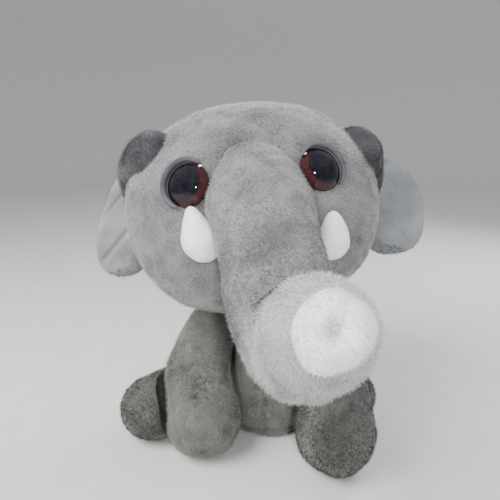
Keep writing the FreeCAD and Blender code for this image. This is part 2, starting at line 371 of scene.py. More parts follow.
def add_noise(made, scale, detail=4.0):
    nodes, links = made.node_tree.nodes, made.node_tree.links
    where = nodes.new("ShaderNodeTexCoord")
    noise = nodes.new("ShaderNodeTexNoise")
    noise.inputs["Scale"].default_value = scale
    noise.inputs["Detail"].default_value = detail
    links.new(where.outputs["Object"], noise.inputs["Vector"])
    return noise


def add_ramp(made, source, stops):
    """A colour ramp from (place, colour) stops, fed by the source and linked to the base colour."""
    nodes, links = made.node_tree.nodes, made.node_tree.links
    ramp = nodes.new("ShaderNodeValToRGB")
    ramp.color_ramp.elements[0].position = stops[0][0]
    ramp.color_ramp.elements[0].color = (*stops[0][1], 1)
    ramp.color_ramp.elements[1].position = stops[-1][0]
    ramp.color_ramp.elements[1].color = (*stops[-1][1], 1)
    for place, color in stops[1:-1]:
        ramp.color_ramp.elements.new(place).color = (*color, 1)
    links.new(source, ramp.inputs["Fac"])
    links.new(ramp.outputs["Color"], nodes["Principled BSDF"].inputs["Base Color"])


def add_bump(made, source, distance):
    nodes, links = made.node_tree.nodes, made.node_tree.links
    bump = nodes.new("ShaderNodeBump")
    bump.inputs["Distance"].default_value = distance
    links.new(source, bump.inputs["Height"])
    links.new(bump.outputs["Normal"], nodes["Principled BSDF"].inputs["Normal"])


def cloth(name, dark, light, patch=45.0, grain=900.0, depth=0.0004, roughness=0.92, **sockets):
    """Brushed cloth: patches where the nap lies differently, under a fine grain that lifts the surface."""
    made = material(name, roughness, light, **sockets)
    nodes, links = made.node_tree.nodes, made.node_tree.links
    patches = add_noise(made, patch, 3.0)
    fine = add_noise(made, grain, 2.0)
    mix = nodes.new("ShaderNodeMath")
    mix.operation = "MULTIPLY_ADD"
    mix.inputs[1].default_value = 0.45
    links.new(fine.outputs["Fac"], mix.inputs[0])
    links.new(patches.outputs["Fac"], mix.inputs[2])
    add_ramp(made, mix.outputs[0], [(0.55, dark), (0.9, light)])
    add_bump(made, fine.outputs["Fac"], depth)
    return made


def speckled(name, roughness, color, scale, stops, detail=4.0, **sockets):
    """A smooth material whose colour varies a little, along a ramp of (place, colour) stops."""
    made = material(name, roughness, color, **sockets)
    add_ramp(made, add_noise(made, scale, detail).outputs["Fac"], stops)
    return made


def fade_forward(made, color, start, end):
    """The cloth's colour turns into another one from one place along Y to the next."""
    nodes, links = made.node_tree.nodes, made.node_tree.links
    base = nodes["Principled BSDF"].inputs["Base Color"]
    before = base.links[0].from_socket
    where = nodes.new("ShaderNodeTexCoord")
    split = nodes.new("ShaderNodeSeparateXYZ")
    links.new(where.outputs["Object"], split.inputs["Vector"])
    share = nodes.new("ShaderNodeMapRange")
    share.inputs["From Min"].default_value = start
    share.inputs["From Max"].default_value = end
    links.new(split.outputs["Y"], share.inputs["Value"])
    mix = nodes.new("ShaderNodeMix")
    mix.data_type = "RGBA"
    links.new(share.outputs["Result"], mix.inputs["Factor"])
    links.new(before, mix.inputs["A"])
    mix.inputs["B"].default_value = (*color, 1)
    links.new(mix.outputs["Result"], base)


def tones(name, low, high, count=5, tint=(1.0, 1.0, 1.0), sheen=0.35):
    """Even steps of one pile colour, from shaded to brushed, one for each group of fibres."""
    made = []
    for step in range(count):
        level = low + (high - low) * step / (count - 1)
        color = tuple(level * part for part in tint)
        made.append(material(f"{name}_{step}", 0.85, color, Sheen_Weight=sheen, Sheen_Roughness=0.5))
    return made


plush = cloth("plush_backing", (0.10, 0.10, 0.098), (0.24, 0.24, 0.235), Sheen_Weight=0.3)
plush_trunk = cloth("plush_trunk_backing", (0.10, 0.10, 0.098), (0.24, 0.24, 0.235), Sheen_Weight=0.3)
plush_dark = cloth("plush_back_of_ear", (0.03, 0.03, 0.034), (0.07, 0.07, 0.077), Sheen_Weight=0.05)
lining = cloth("ear_lining", (0.18, 0.19, 0.205), (0.29, 0.305, 0.325),
               60.0, 1500.0, 0.00015, 0.7, Sheen_Weight=0.4)
felt = cloth("tusk_felt", (0.82, 0.81, 0.77), (0.95, 0.945, 0.92),
             80.0, 1300.0, 0.0002, 0.85, Sheen_Weight=0.2)
patch = cloth("tip_patch", (0.74, 0.74, 0.74), (0.9, 0.9, 0.9),
              90.0, 1100.0, 0.0003, 0.9, Sheen_Weight=0.3)
fade_forward(plush_trunk, (0.38, 0.38, 0.37), -0.118, -0.132)
suede = cloth("lid_suede", (0.055, 0.055, 0.068), (0.10, 0.105, 0.125),
              120.0, 2200.0, 0.0001, 0.8, Sheen_Weight=0.05)
calico = cloth("pellet_calico", (0.5, 0.48, 0.43), (0.66, 0.64, 0.58), 80.0, 1200.0)
satin = cloth("label_satin", (0.72, 0.72, 0.7), (0.86, 0.86, 0.84), 200.0, 3000.0, 0.00005, 0.45)
# Painted shade: the body's backing is a darker copy of the grey plush, for the body lying in the head's
# shade.
shaded_plush_body = cloth("plush_body_backing", (0.06, 0.06, 0.055), (0.16, 0.16, 0.15), Sheen_Weight=0.3)
grey_pile = tones("grey_pile", 0.14, 0.46, 6, (0.99, 1.0, 1.0))
# Painted shade: the body's pile is a darker, brownish copy of the grey pile, for the same shade.
shaded_body_pile = tones("shaded_body_pile", 0.035, 0.29, 6, (0.995, 1.0, 0.94), 0.1)
dark_pile = tones("dark_pile", 0.042, 0.19, 4, (0.97, 0.98, 1.07), 0.06)
blob_pile = tones("blob_pile", 0.26, 0.6, 5, (1.0, 1.0, 0.98))
pale_pile = tones("pale_pile", 0.68, 0.93, 4, (1.0, 1.0, 0.99))


pupil_black = speckled("pupil_black", 0.04, (0.006, 0.006, 0.009), 400.0,
                       [(0.4, (0.004, 0.004, 0.007)), (0.7, (0.011, 0.011, 0.016))], IOR=1.4)
iris_brown = speckled("iris_brown", 0.06, (0.1, 0.025, 0.02), 700.0,
                      [(0.3, (0.018, 0.006, 0.006)), (0.7, (0.055, 0.015, 0.014))], 6.0, IOR=1.35)


# ---- Pile ----
FIBRE_SINK = 0.25            # how deep a fibre is rooted in its backing
THIRDS = (0, 2.0944, 4.1888)  # the three corners of its foot, in radians


def pile(name, base, materials, density, length, width, seed, keep=None, comb=(0, 0.2, -1.0), lean=0.7,
         tone=None):
    """Short fibres over a piece, each a closed thin spike.

    density is in fibres to a square millimetre. keep says which roots grow, and tone how light each is.
    """
    rng = np.random.default_rng(seed)
    mesh = base.data
    points = np.empty(len(mesh.vertices) * 3)
    mesh.vertices.foreach_get("co", points)
    points = points.reshape(-1, 3) / MM
    mesh.calc_loop_triangles()
    triangles = np.empty(len(mesh.loop_triangles) * 3, int)
    mesh.loop_triangles.foreach_get("vertices", triangles)
    triangles = triangles.reshape(-1, 3)
    normals = normals_of(points, triangles)
    a, b, c = (points[triangles[:, corner]] for corner in range(3))
    areas = np.linalg.norm(np.cross(b - a, c - a), axis=1) / 2
    count = int(areas.sum() * density)
    chosen = rng.choice(len(triangles), count, p=areas / areas.sum())
    u, v = rng.random(count), rng.random(count)
    over = u + v > 1
    u[over], v[over] = 1 - u[over], 1 - v[over]
    weights = np.stack([1 - u - v, u, v], 1)
    roots = np.einsum("nk,nkj->nj", weights, points[triangles[chosen]])
    out = unit(np.einsum("nk,nkj->nj", weights, normals[triangles[chosen]]))
    if keep is not None:
        kept = keep(roots)
        roots, out = roots[kept], out[kept]
    count = len(roots)
    flow = np.asarray(comb, float) + 0.9 * np.stack([waves(roots, 16, seed + step) for step in range(3)], 1)
    flow = flow - out * (flow * out).sum(1)[:, None]
    flow = flow / np.maximum(1, np.linalg.norm(flow, axis=1, keepdims=True))
    way = unit(out + lean * flow + rng.normal(0, 0.3, (count, 3)))
    side = unit(np.cross(way, rng.normal(size=(count, 3))))
    across = np.cross(way, side)
    tall = length * rng.uniform(0.55, 1.15, count)[:, None]
    wide = width / 2 * rng.uniform(0.8, 1.2, count)[:, None]
    foot = roots - out * FIBRE_SINK
    corners = [foot + wide * (math.cos(t) * side + math.sin(t) * across) for t in THIRDS]
    fibres = np.stack([*corners, foot + way * tall], 1).reshape(-1, 3)
    fibres[:, 2] = np.maximum(fibres[:, 2], FLOOR_PILE)
    first = np.arange(count)[:, None] * 4
    sides = ([0, 1, 3], [1, 2, 3], [2, 0, 3], [2, 1, 0])
    faces = np.concatenate([first + corners for corners in sides], 1).reshape(-1, 3)
    light = 0.5 + 0.33 * waves(roots, 9, seed + 7) + 0.22 * waves(roots, 28, seed + 8)
    light = light + rng.normal(0, 0.17, count)
    if tone is not None:
        light = light + tone(roots)
    shades = np.clip((light * len(materials)).astype(int), 0, len(materials) - 1)

    made = bpy.data.meshes.new(name)
    made.vertices.add(len(fibres))
    made.vertices.foreach_set("co", (fibres * MM).ravel())
    made.loops.add(len(faces) * 3)
    made.loops.foreach_set("vertex_index", faces.ravel())
    made.polygons.add(len(faces))
    made.polygons.foreach_set("loop_start", np.arange(len(faces)) * 3)
    made.polygons.foreach_set("loop_total", np.full(len(faces), 3))
    for shade in materials:
        made.materials.append(shade)
    made.polygons.foreach_set("material_index", np.repeat(shades, 4))
    made.update(calc_edges=True)
    piece = bpy.data.objects.new(name, made)
    bpy.context.scene.collection.objects.link(piece)
    return piece


# ---- Head ----
def skull_point(x, z):
    """A point on the front of the skull, and its outward direction, in the head's frame."""
    rx, ry, rz = HEAD_RADII
    point = np.array([x, -ry * math.sqrt(1 - (x / rx) ** 2 - (z / rz) ** 2), z])
    return point, unit(point / HEAD_RADII**2)


EYES = {side: skull_point(x, EYE_Z) for side, x in EYE_X.items()}


def make_head():
    """The skull: a wide soft ball with full lower cheeks, hollows round the eyes and the gusset's seams."""
    directions, faces = ball_grid(6)
    power = 2.2
    reach = (np.abs(directions / HEAD_RADII) ** power).sum(1) ** (-1 / power)
    points = directions * reach[:, None]
    swell = 0.5 * waves(points, 38, 3)
    for side in (-1, 1):
        cheek = np.linalg.norm(points - (side * 44, -34, -28), axis=1)
        swell += 2.2 * np.exp(-((cheek / 21) ** 2))
    for place, _ in EYES.values():
        near = np.linalg.norm(points - place, axis=1)
        swell += -1.6 * np.exp(-((near / 12) ** 2)) + 0.8 * np.exp(-(((near - 17) / 4) ** 2))
    back = smoothstep(-25, 5, points[:, 1])
    gusset = np.abs(np.abs(points[:, 0]) - (21 - 0.12 * np.abs(points[:, 1])))
    top = smoothstep(5, 25, points[:, 2]) + smoothstep(10, 30, points[:, 1])
    swell -= 0.8 * np.exp(-((gusset / 1.1) ** 2)) * np.clip(top, 0, 1) * back
    rim = chain_distance(points, (TRUNK_SPINE, TRUNK_RADII))[0]
    swell -= 4.2 * np.exp(-(((rim - 0.5) / 3.0) ** 2)) * smoothstep(-25, -5, points[:, 2])
    swell -= 0.9 * np.exp(-((points[:, 0] / 1.2) ** 2)) * smoothstep(-20, -40, points[:, 2])
    points = grown(points, faces, swell - PILE_ROOM)
    head = new_piece("head", from_head(points), faces, plush)
    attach(head, "head")
    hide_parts("head_skin", "head_stuffing")
    return head


TRUNK = ([from_head(point) for point in TRUNK_SPINE], TRUNK_RADII)


def bare_of_eyes(roots):
    """Where the head's pile grows: not under the eyes and not inside the trunk's root."""
    kept = chain_distance(roots, TRUNK)[0] > -1.5
    for place, out in EYES.values():
        kept &= np.linalg.norm(roots - from_head(place), axis=1) > EYE_RADIUS + 0.6
    return kept


def head_painted_light(roots):
    """Painted shade and light on the head's pile: darker in the crease round the trunk, lighter over the
    forehead and crown.
    """
    crease = np.exp(-((chain_distance(roots, TRUNK)[0] / 3.5) ** 2))
    return 0.14 + 0.12 * smoothstep(-10, 45, to_head(roots)[:, 2]) - 0.5 * crease


def pile_head(head):
    for index, (low, high) in enumerate(((-90, -20), (-20, 20), (20, 90))):
        def part(roots, low=low, high=high):
            across = to_head(roots)[:, 0]
            return bare_of_eyes(roots) & (across >= low) & (across < high)

        fur = pile(f"head_pile_{index + 1}", head, grey_pile, 2.0, 2.0, 0.24, 100 + index, part,
                   tone=head_painted_light)
        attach(fur, "head")


# ---- Trunk ----
def make_trunk():
    """One long sewn tube that bends down from the forehead and curls up, with a dart on top of its root."""
    points, faces = tube(TRUNK_SPINE, TRUNK_RADII, rings=150, around=120, end_flat=0.96)
    swell = 0.45 * waves(points, 26, 11) + 0.2 * waves(points, 9, 12)
    under = np.abs(points[:, 0] - 3)
    normals = normals_of(points, faces)
    swell -= 0.9 * np.exp(-((under / 1.3) ** 2)) * smoothstep(0.2, -0.4, normals[:, 2])
    pole = np.linalg.norm(points - (np.array(TRUNK_SPINE[-1]) + 18.0 * unit(TRUNK_AIM)), axis=1)
    swell -= 5.0 * np.exp(-((pole / 7.5) ** 2))
    pinch = (points - np.array(TRUNK_SPINE[-1])) @ unit(TRUNK_AIM)
    pinch = pinch + 6.0 + 1.5 * waves(points, 20, 14)
    swell -= 1.7 * np.exp(-((pinch / 2.6) ** 2)) * (points[:, 1] < -100)
    dart = np.exp(-(((points[:, 0] - 1) / 1.2) ** 2)) * smoothstep(-62, -50, points[:, 1])
    swell -= 1.3 * dart * (normals[:, 2] > 0)
    points = grown(points, faces, swell - PILE_ROOM)
    trunk = new_piece("trunk", from_head(points), faces, plush_trunk)
    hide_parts("upper_trunk_skin", "upper_trunk_stuffing", "lower_trunk_skin", "lower_trunk_stuffing")
    return trunk


def bend_trunk(piece):
    """The trunk, or its pile, with its place moved into its points."""
    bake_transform(piece)


def outside_head(roots, margin):
    return np.linalg.norm(to_head(roots) / (HEAD_RADII + margin), axis=1) > 1


TIP = from_head(TRUNK_SPINE[-1])
TIP_AIM = HEAD_TURN_ONLY @ unit(TRUNK_AIM)


def in_patch(points, radius):
    """Whether points lie on the round end of the trunk that the pale patch covers."""
    away = points - TIP
    rise = away @ TIP_AIM
    across = np.linalg.norm(away - rise[:, None] * TIP_AIM, axis=1)
    return (rise > 0) & (across < radius)


def pile_trunk(trunk):
    """Grey pile to the bend, pile that lightens by and by after it, and the longer pale pile of the end."""
    def root_part(roots):
        return outside_head(roots, -1.0) & (to_head(roots)[:, 1] > TRUNK_BEND_Y)

    def past_bend(roots):
        along = to_head(roots)[:, 1]
        return (along <= TRUNK_BEND_Y) & ~in_patch(roots, PATCH_BARE), along + 4.5 * waves(roots, 8, 119)

    def end_part(roots):
        past, along = past_bend(roots)
        return past & (along > TRUNK_PALE_Y)

    def tip_part(roots):
        past, along = past_bend(roots)
        return past & (along <= TRUNK_PALE_Y)

    furs = [
        pile("trunk_pile_1", trunk, grey_pile, 2.6, 1.9, 0.22, 120, root_part, (0, -0.8, -0.7),
             tone=lambda roots: 0.08 - 0.6 * smoothstep(-60, -90, to_head(roots)[:, 1])),
        pile("trunk_pile_2", trunk, grey_pile, 3.2, 2.3, 0.21, 121, end_part, (0, 0, -0.6), 0.55,
             lambda roots: -0.5 + 0.8 * smoothstep(-106, -119, to_head(roots)[:, 1])),
        pile("trunk_pile_3", trunk, blob_pile, 3.6, 2.6, 0.2, 122, tip_part, (0, 0, -0.6), 0.55,
             lambda roots: -0.34 + 0.6 * smoothstep(-112, -128, to_head(roots)[:, 1])),
    ]
    for fur in furs:
        bend_trunk(fur)


def make_tip_patch():
    """The pale round patch in the tip: softly domed, drawn in at its middle, with a turned edge."""
    side = unit(np.cross((0, 0, 1), TIP_AIM))
    up = np.cross(TIP_AIM, side)
    rings, around = 40, 120
    reach = np.linspace(0, 1, rings + 1)[1:]
    turn = np.linspace(0, 2 * math.pi, around, endpoint=False)
    curve = TRUNK_RADII[-1] + 0.2
    points = [TIP + TIP_AIM * (curve - 2.6)]
    for share in reach:
        wobble = 1 + 0.05 * np.sin(2 * turn + 0.8) + 0.035 * np.sin(3 * turn + 2.0) + 0.02 * np.sin(5 * turn)
        flat = (side[None] * np.cos(turn)[:, None] + up[None] * np.sin(turn)[:, None]) * wobble[:, None]
        place = TIP + flat * PATCH_RADIUS * share
        dome = math.sqrt(curve**2 - (PATCH_RADIUS * share) ** 2)
        dimple = 3.6 * math.exp(-((share / 0.3) ** 2)) + 9.0 * max(0, share - 0.9)
        crease = 0.5 * np.exp(-(((turn - 1.1) / 0.14) ** 2)) + 0.7 * np.exp(-(((turn - 5.3) / 0.12) ** 2))
        lift = dome - dimple - crease * math.sin(math.pi * share) + 0.3 * waves(place, 7, 40) * (1 - share)
        points.extend(place + TIP_AIM * lift[:, None])
    faces = [(0, 1 + step, 1 + (step + 1) % around) for step in range(around)]
    faces += bands(1, rings, around)
    points = np.array(points)
    back = points - TIP_AIM * 1.2
    count = len(points)
    rim = 1 + (rings - 1) * around
    closed = faces + [tuple(count + corner for corner in face[::-1]) for face in faces]
    for step in range(around):
        following = (step + 1) % around
        closed.append((rim + step, count + rim + step, count + rim + following, rim + following))
    piece = new_piece("trunk_tip_patch", np.vstack([points, back]), closed, patch)
    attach(piece, "trunk")
    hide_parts("trunk_tip_disc")
    fur = pile("trunk_tip_pile", piece, pale_pile, 5.0, 1.6, 0.2, 130, None, (0, 0, -0.5), 0.6)
    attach(fur, "trunk")


def make_tusk(side):
    """A fat felt teardrop, a little lumpy, with the seam down its outer side drawn in."""
    root, tip = (np.array(end, float) for end in TUSKS[side])
    aim = unit(tip - root)
    length = np.linalg.norm(tip - root) + TUSK_RADIUS
    heights = [0, 0.03, 0.12, 0.35, 0.65, 0.9, 0.98, 1]
    widths = [0, 0.36, 0.72, 1, 0.76, 0.36, 0.16, 0]
    line = along_spline([(0, 0, height) for height in heights], widths, 90)
    across = unit(np.cross(aim, (0, 1, 0)))
    front = np.cross(across, aim)
    around = 72
    turn = np.linspace(0, 2 * math.pi, around, endpoint=False)
    points = []
    for _, _, height, width in line[1:-1]:
        seam = 1 - 0.07 * np.exp(-(((turn - math.pi / 2 - 1.1) / 0.12) ** 2))
        bow = -1.2 * math.sin(math.pi * height) * OUTWARD[side]
        ring = np.cos(turn)[:, None] * across + np.sin(turn)[:, None] * front
        points.extend(root + aim * (height * length - TUSK_RADIUS) + across * bow
                      + ring * (TUSK_RADIUS * 1.04 * width * seam)[:, None])
    points.append(root - aim * TUSK_RADIUS)
    points.append(root + aim * (length - TUSK_RADIUS))
    points = np.array(points)
    faces = rolled(len(line) - 2, around)
    points = grown(points, faces, 0.22 * waves(points, 9, 50))
    piece = new_piece(f"tusk_{side}_felt", from_head(points), faces, felt)
    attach(piece, "head")
    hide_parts(f"tusk_{side}")


# ---- Eyes ----
def eye_frame(side):
    """An eye's seat and its outward, outer-side and upward directions, in the head's frame."""
    place, out = EYES[side]
    across = unit(np.cross((0, 0, 1), out)) * OUTWARD[side]
    return place, out, across, unit(np.cross(out, across) * OUTWARD[side])


def make_eye(side):
    """A domed safety eye: a large black pupil set to the outside, the iris showing round its inner edge."""
    place, out, across, up = eye_frame(side)
    shift = np.array([1.2, 0.5])
    ball_radius = (EYE_RADIUS**2 + EYE_HEIGHT**2) / (2 * EYE_HEIGHT)
    around, inner, outer = 128, 24, 14
    turn = np.linspace(0, 2 * math.pi, around, endpoint=False)
    ring = np.stack([np.cos(turn), np.sin(turn)], 1)
    flat = [shift[None]]
    for step in range(1, inner + 1):
        flat.append(shift + ring * PUPIL_RADIUS * step / inner)
    for step in range(1, outer + 1):
        share = step / outer
        flat.append((shift + ring * PUPIL_RADIUS) * (1 - share) + ring * EYE_RADIUS * share)
    flat.append(ring * EYE_RADIUS)
    flat = np.vstack(flat)
    rise = np.sqrt(np.maximum(ball_radius**2 - (flat**2).sum(1), 0)) - ball_radius + EYE_HEIGHT
    rise[-around:] = -1.0
    points = place + flat[:, :1] * across + flat[:, 1:] * up + rise[:, None] * out
    faces = [(0, 1 + step, 1 + (step + 1) % around) for step in range(around)]
    faces += bands(1, inner + outer + 1, around)
    paints = [0] * (inner * around) + [1] * ((outer + 1) * around)
    if side == "right":
        faces = [face[::-1] for face in faces]
    piece = new_piece(f"eye_{side}", from_head(points), faces, pupil_black)
    piece.data.materials.append(iris_brown)
    piece.data.polygons.foreach_set("material_index", paints)
    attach(piece, "head")
    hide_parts(f"eye_dome_{side}", f"eye_iris_{side}", f"eye_pupil_{side}")


def make_lid(side):
    """A suede crescent round the top and outside of an eye, widest at the outside and rolled at its edge."""
    place, out, across, up = eye_frame(side)
    first, last = (-36, 160) if side == "right" else (-50, 142)
    steps, section = 120, 18
    points = []
    for angle in np.radians(np.linspace(first, last, steps)):
        share = (math.degrees(angle) - first) / (last - first)
        swell = max(math.sin(math.pi * share), 0.0) ** 0.6
        radial = math.sin(angle) * across + math.cos(angle) * up
        middle = place + radial * (EYE_RADIUS + 0.5 + 1.0 * swell) + out * 1.2
        for round_angle in np.linspace(0, 2 * math.pi, section, endpoint=False):
            wide = (0.3 + 1.5 * swell) * math.cos(round_angle)
            high = (0.5 + 1.5 * swell) * math.sin(round_angle)
            points.append(middle + radial * wide + out * (high - 0.35 * wide))
    faces = bands(0, steps, section)
    faces.append(tuple(range(section)))
    faces.append(tuple(range(len(points) - section, len(points)))[::-1])
    if side == "left":
        faces = [face[::-1] for face in faces]
    piece = new_piece(f"lid_{side}", from_head(points), faces, suede)
    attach(piece, "head")
    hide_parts(f"eyelid_{side}")
    corner = place + (-0.62 * across + 0.72 * up) * (EYE_RADIUS + 0.4) + out * 1.4
    directions, round_faces = ball_grid(3)
    speck = corner + directions @ np.stack([across * 1.0, up * 0.55, out * 0.5])
    white = new_piece(f"eye_corner_{side}", from_head(speck), round_faces, felt)
    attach(white, "head")


# ---- Ears ----
def make_ear(side):
    """A thin two-layer ear, smooth in front and plush behind, creased, with a roll of plush over its top."""
    middle, half_width, half_height, turn, tilt = EARS[side]
    stand = Matrix.Rotation(math.radians(turn), 3, "Z") @ Matrix.Rotation(math.radians(tilt), 3, "Y")
    stand = np.array(stand @ Matrix.Rotation(math.radians(90), 3, "X"))
    outward = OUTWARD[side]
    around, rings = 160, 60
    angles = np.linspace(0, 2 * math.pi, around, endpoint=False)
    from_corner = np.abs((angles - (1.5 * math.pi + outward * 0.6) + math.pi) % (2 * math.pi) - math.pi)
    low_corner = np.exp(-((from_corner / 0.5) ** 2))
    outer = np.clip(outward * np.cos(angles), 0, 1) * (1 + 0.5 * np.sin(angles)) * EAR_TRIM[side]
    upper = np.exp(-(((angles - (math.pi / 2 + outward * 0.45)) / 0.55) ** 2))
    reach = 1.03 + 0.1 * low_corner + 0.27 * upper + 0.015 * np.sin(5 * angles) - outer
    sheets = []
    for front in (1, -1):
        rows = []
        for ring in range(rings + 1):
            share = ring / rings
            x = half_width * share * reach * np.cos(angles)
            y = half_height * share * reach * np.sin(angles)
            edge = 1.9 * max(1 - share**8, 0.0) ** 0.5
            out_share = outward * x / half_width
            bend = 3.0 * out_share * share - 2.5 * share**2
            across = x * outward * 0.8 + y * 0.6
            crease = -1.3 * np.exp(-(((across + 5) / 1.6) ** 2)) - 0.9 * np.exp(-(((across - 11) / 1.3) ** 2))
            place = np.stack([x, y, np.zeros(around)], 1)
            depth = EAR_MIDDLE + front * edge + bend + (crease + 0.4 * waves(place, 14, 60)) * (1 - share**6)
            rows.append(np.stack([x, y, depth], 1))
        sheets.append(rows)
    rows = [sheets[0][0][:1]] + sheets[0][1:] + sheets[1][-2:0:-1] + [sheets[1][0][:1]]
    points = np.vstack(rows)
    count = len(rows) - 2
    last_ring = 1 + (count - 1) * around
    faces = []
    for step in range(around):
        following = (step + 1) % around
        faces.append((0, 1 + step, 1 + following))
        faces.append((len(points) - 1, last_ring + following, last_ring + step))
    faces += bands(1, count, around)
    paints = [0, 1] * around + [0] * ((rings - 1) * around) + [1] * ((count - rings) * around)
    points = np.array(middle) + points @ stand.T
    piece = new_piece(f"ear_{side}", from_head(points), faces, lining)
    piece.data.materials.append(plush_dark)
    piece.data.polygons.foreach_set("material_index", paints)
    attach(piece, f"ear_{side}")
    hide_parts(f"ear_back_{side}", f"ear_lining_{side}")

    def behind(roots):
        return (to_head(roots) - np.array(middle)) @ stand[:, 2] < EAR_MIDDLE - 0.3

    fur = pile(f"ear_{side}_pile", piece, dark_pile, 3.0, 1.8, 0.22, 140, behind, (0, 0, -0.8))
    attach(fur, f"ear_{side}")

    roll, round_faces = tube(*FOLDS[side], rings=60, around=72)
    roll = grown(roll, round_faces, 0.5 * waves(roll, 16, 70))
    fold = new_piece(f"ear_{side}_fold", from_head(roll), round_faces, plush_dark)
    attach(fold, f"ear_{side}")
    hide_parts(f"ear_fold_{side}")
    fur = pile(f"ear_{side}_fold_pile", fold, dark_pile, 3.5, 2.0, 0.22, 150, None, (0, 0, -0.9))
    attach(fur, f"ear_{side}")


# ---- Body ----
def carved(points, chain, gap=1.2):
    """Torso points moved in towards its upright axis until they clear a limb, which then sits in a socket."""
    points = points.copy()
    for _ in range(45):
        distance, _ = chain_distance(points, chain)
        inside = distance < gap
        if not inside.any():
            break
        middle = points.copy()
        middle[:, :2] = TORSO_MIDDLE
        inward = unit(middle - points)
        step = np.minimum(gap - distance, 1.0)
        points[inside] += inward[inside] * np.maximum(step[inside], 0.15)[:, None]
    return points


def outside_torso(points, margin):
    """Whether points are further out than the pear, so that no pile grows inside a socket."""
    heights = [height for _, height in TORSO_PROFILE]
    radii = [radius for radius, _ in TORSO_PROFILE]
    away = np.hypot(points[:, 0] - TORSO_MIDDLE[0], points[:, 1] - TORSO_MIDDLE[1])
    return away > np.interp(points[:, 2], heights, radii, right=0) + margin


def make_torso():
    """The pear-shaped body, with a seam down its front and a socket for each limb."""
    directions, faces = ball_grid(6)
    corners = [(radius, 0, height) for radius, height in TORSO_PROFILE]
    profile = along_spline(corners, np.zeros(len(corners)), 200)
    polar = np.arccos(np.clip(directions[:, 2], -1, 1)) / math.pi
    along = np.linspace(1, 0, len(profile))
    radius = np.interp(polar, along[::-1], profile[::-1, 0])
    height = np.interp(polar, along[::-1], profile[::-1, 2])
    flat = unit(directions[:, :2] + 1e-9)
    points = np.column_stack([TORSO_MIDDLE + flat * radius[:, None], height])
    swell = 0.6 * waves(points, 28, 81)
    seam = np.exp(-((points[:, 0] / 1.2) ** 2)) * (points[:, 1] < 5)
    points = grown(points, faces, swell - 0.8 * seam - PILE_ROOM)
    points[:, 2] = np.minimum(points[:, 2], TORSO_TOP)
    for chain in LIMBS:
        points = carved(points, chain)
    points = grounded(points)
    torso = new_piece("torso", points, faces, shaded_plush_body)
    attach(torso, "torso")
    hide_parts("torso_skin", "torso_stuffing")

    def shown(roots):
        free = np.full(len(roots), True)
        for chain in LIMBS:
            free &= chain_distance(roots, chain)[0] > 2.4
        return free & (roots[:, 2] > 1.2)

    fur = pile("torso_pile", torso, shaded_body_pile, 2.2, 2.0, 0.24, 160, shown, tone=lambda roots: 0.05)
    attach(fur, "torso")


def make_limb(body, covers, chain, seed, tone, dark_spot, dented=()):
    """A soft limb, flattened on the floor, with a seam under it and dents where other limbs press into it."""
    points, faces = tube(*chain, rings=90, around=96)
    swell = 0.5 * waves(points, 22, seed) + 0.2 * waves(points, 8, seed + 1)
    swell -= 0.8 * np.exp(-(((points[:, 0] - chain[0][-1][0] * 0.8) / 1.2) ** 2)) * (points[:, 2] < 12)
    points = grown(points, faces, swell - PILE_ROOM)
    hip = chain[0][0]
    reach = chain[0][-1] - hip
    for other in dented:
        points = pressed(points, other, REST_GAP)
        for angle in LIFTS:
            points = pressed(points, turned_chain(other, hip, (reach[1], -reach[0], 0), angle), LIFT_GAP)
    points = grounded(points)
    limb = new_piece(body, points, faces, shaded_plush_body)
    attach(limb, body)
    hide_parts(*covers)

    # The limb's painted light and shade, darker still round its dark spot; on the left foreleg that spot is
    # the painted shadow of the trunk's tip.
    def shade(roots):
        near = np.linalg.norm(roots - dark_spot, axis=1)
        return tone - 0.45 * np.exp(-((near / 12) ** 2))

    def shown(roots):
        free = (roots[:, 2] > 0.9) & outside_torso(roots, 1.6)
        for other in dented:
            free &= chain_distance(roots, other)[0] > 2.0
        return free

    fur = pile(f"{body}_pile", limb, shaded_body_pile, 2.6, 2.1, 0.23, seed + 2, shown, tone=shade)
    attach(fur, body)


def make_body():
    """The torso, the limbs, the tail and the pleated collar of the neck."""
    make_torso()
    for side, chain in FORELEGS.items():
        body = f"foreleg_{side}"
        make_limb(body, (f"{body}_skin", f"{body}_stuffing"), chain, 170 + OUTWARD[side], LIMB_LIGHT_AND_SHADE[body],
                  DARK_SPOTS[body])
    for side, chain in HIND_LEGS.items():
        body = f"hind_leg_{side}"
        make_limb(body, (f"{body}_skin", f"{body}_stuffing"), chain, 180 + OUTWARD[side], LIMB_LIGHT_AND_SHADE[body],
                  DARK_SPOTS[body], (FORELEGS[side],))
    make_limb("tail", ("tail_skin", "tail_stuffing"), TAIL, 190, 0.0, DARK_SPOTS["tail"])
    directions, faces = ball_grid(5)
    middle = PIVOTS["neck_turn"]
    around = np.arctan2(directions[:, 1], directions[:, 0])
    pleats = 1 + 0.03 * np.sin(18 * around) * (1 - directions[:, 2] ** 2)
    neck = new_piece("neck", middle + directions * NECK_RADII * pleats[:, None], faces, shaded_plush_body)
    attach(neck, "neck")
    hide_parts("neck_stuffing")


def make_pouch():
    """The pouch of pellets in the seat: a slack little bag, lumpy from its pellets, with a sewn rim."""
    middle = box_middle("pellet_pouch")
    low, high = (np.array(corner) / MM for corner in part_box("pellet_pouch"))
    directions, faces = ball_grid(5)
    points = directions * ((high - low) / 2 - 1.4)
    rim = np.exp(-((directions[:, 2] / 0.06) ** 2))
    swell = 0.3 * waves(points, 3.4, 211) + 0.4 * waves(points, 13, 212) + 0.7 * rim
    pouch = new_piece("pellet_bag", middle + grown(points, faces, swell), faces, calico)
    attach(pouch, "torso")
    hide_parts("pellet_pouch")


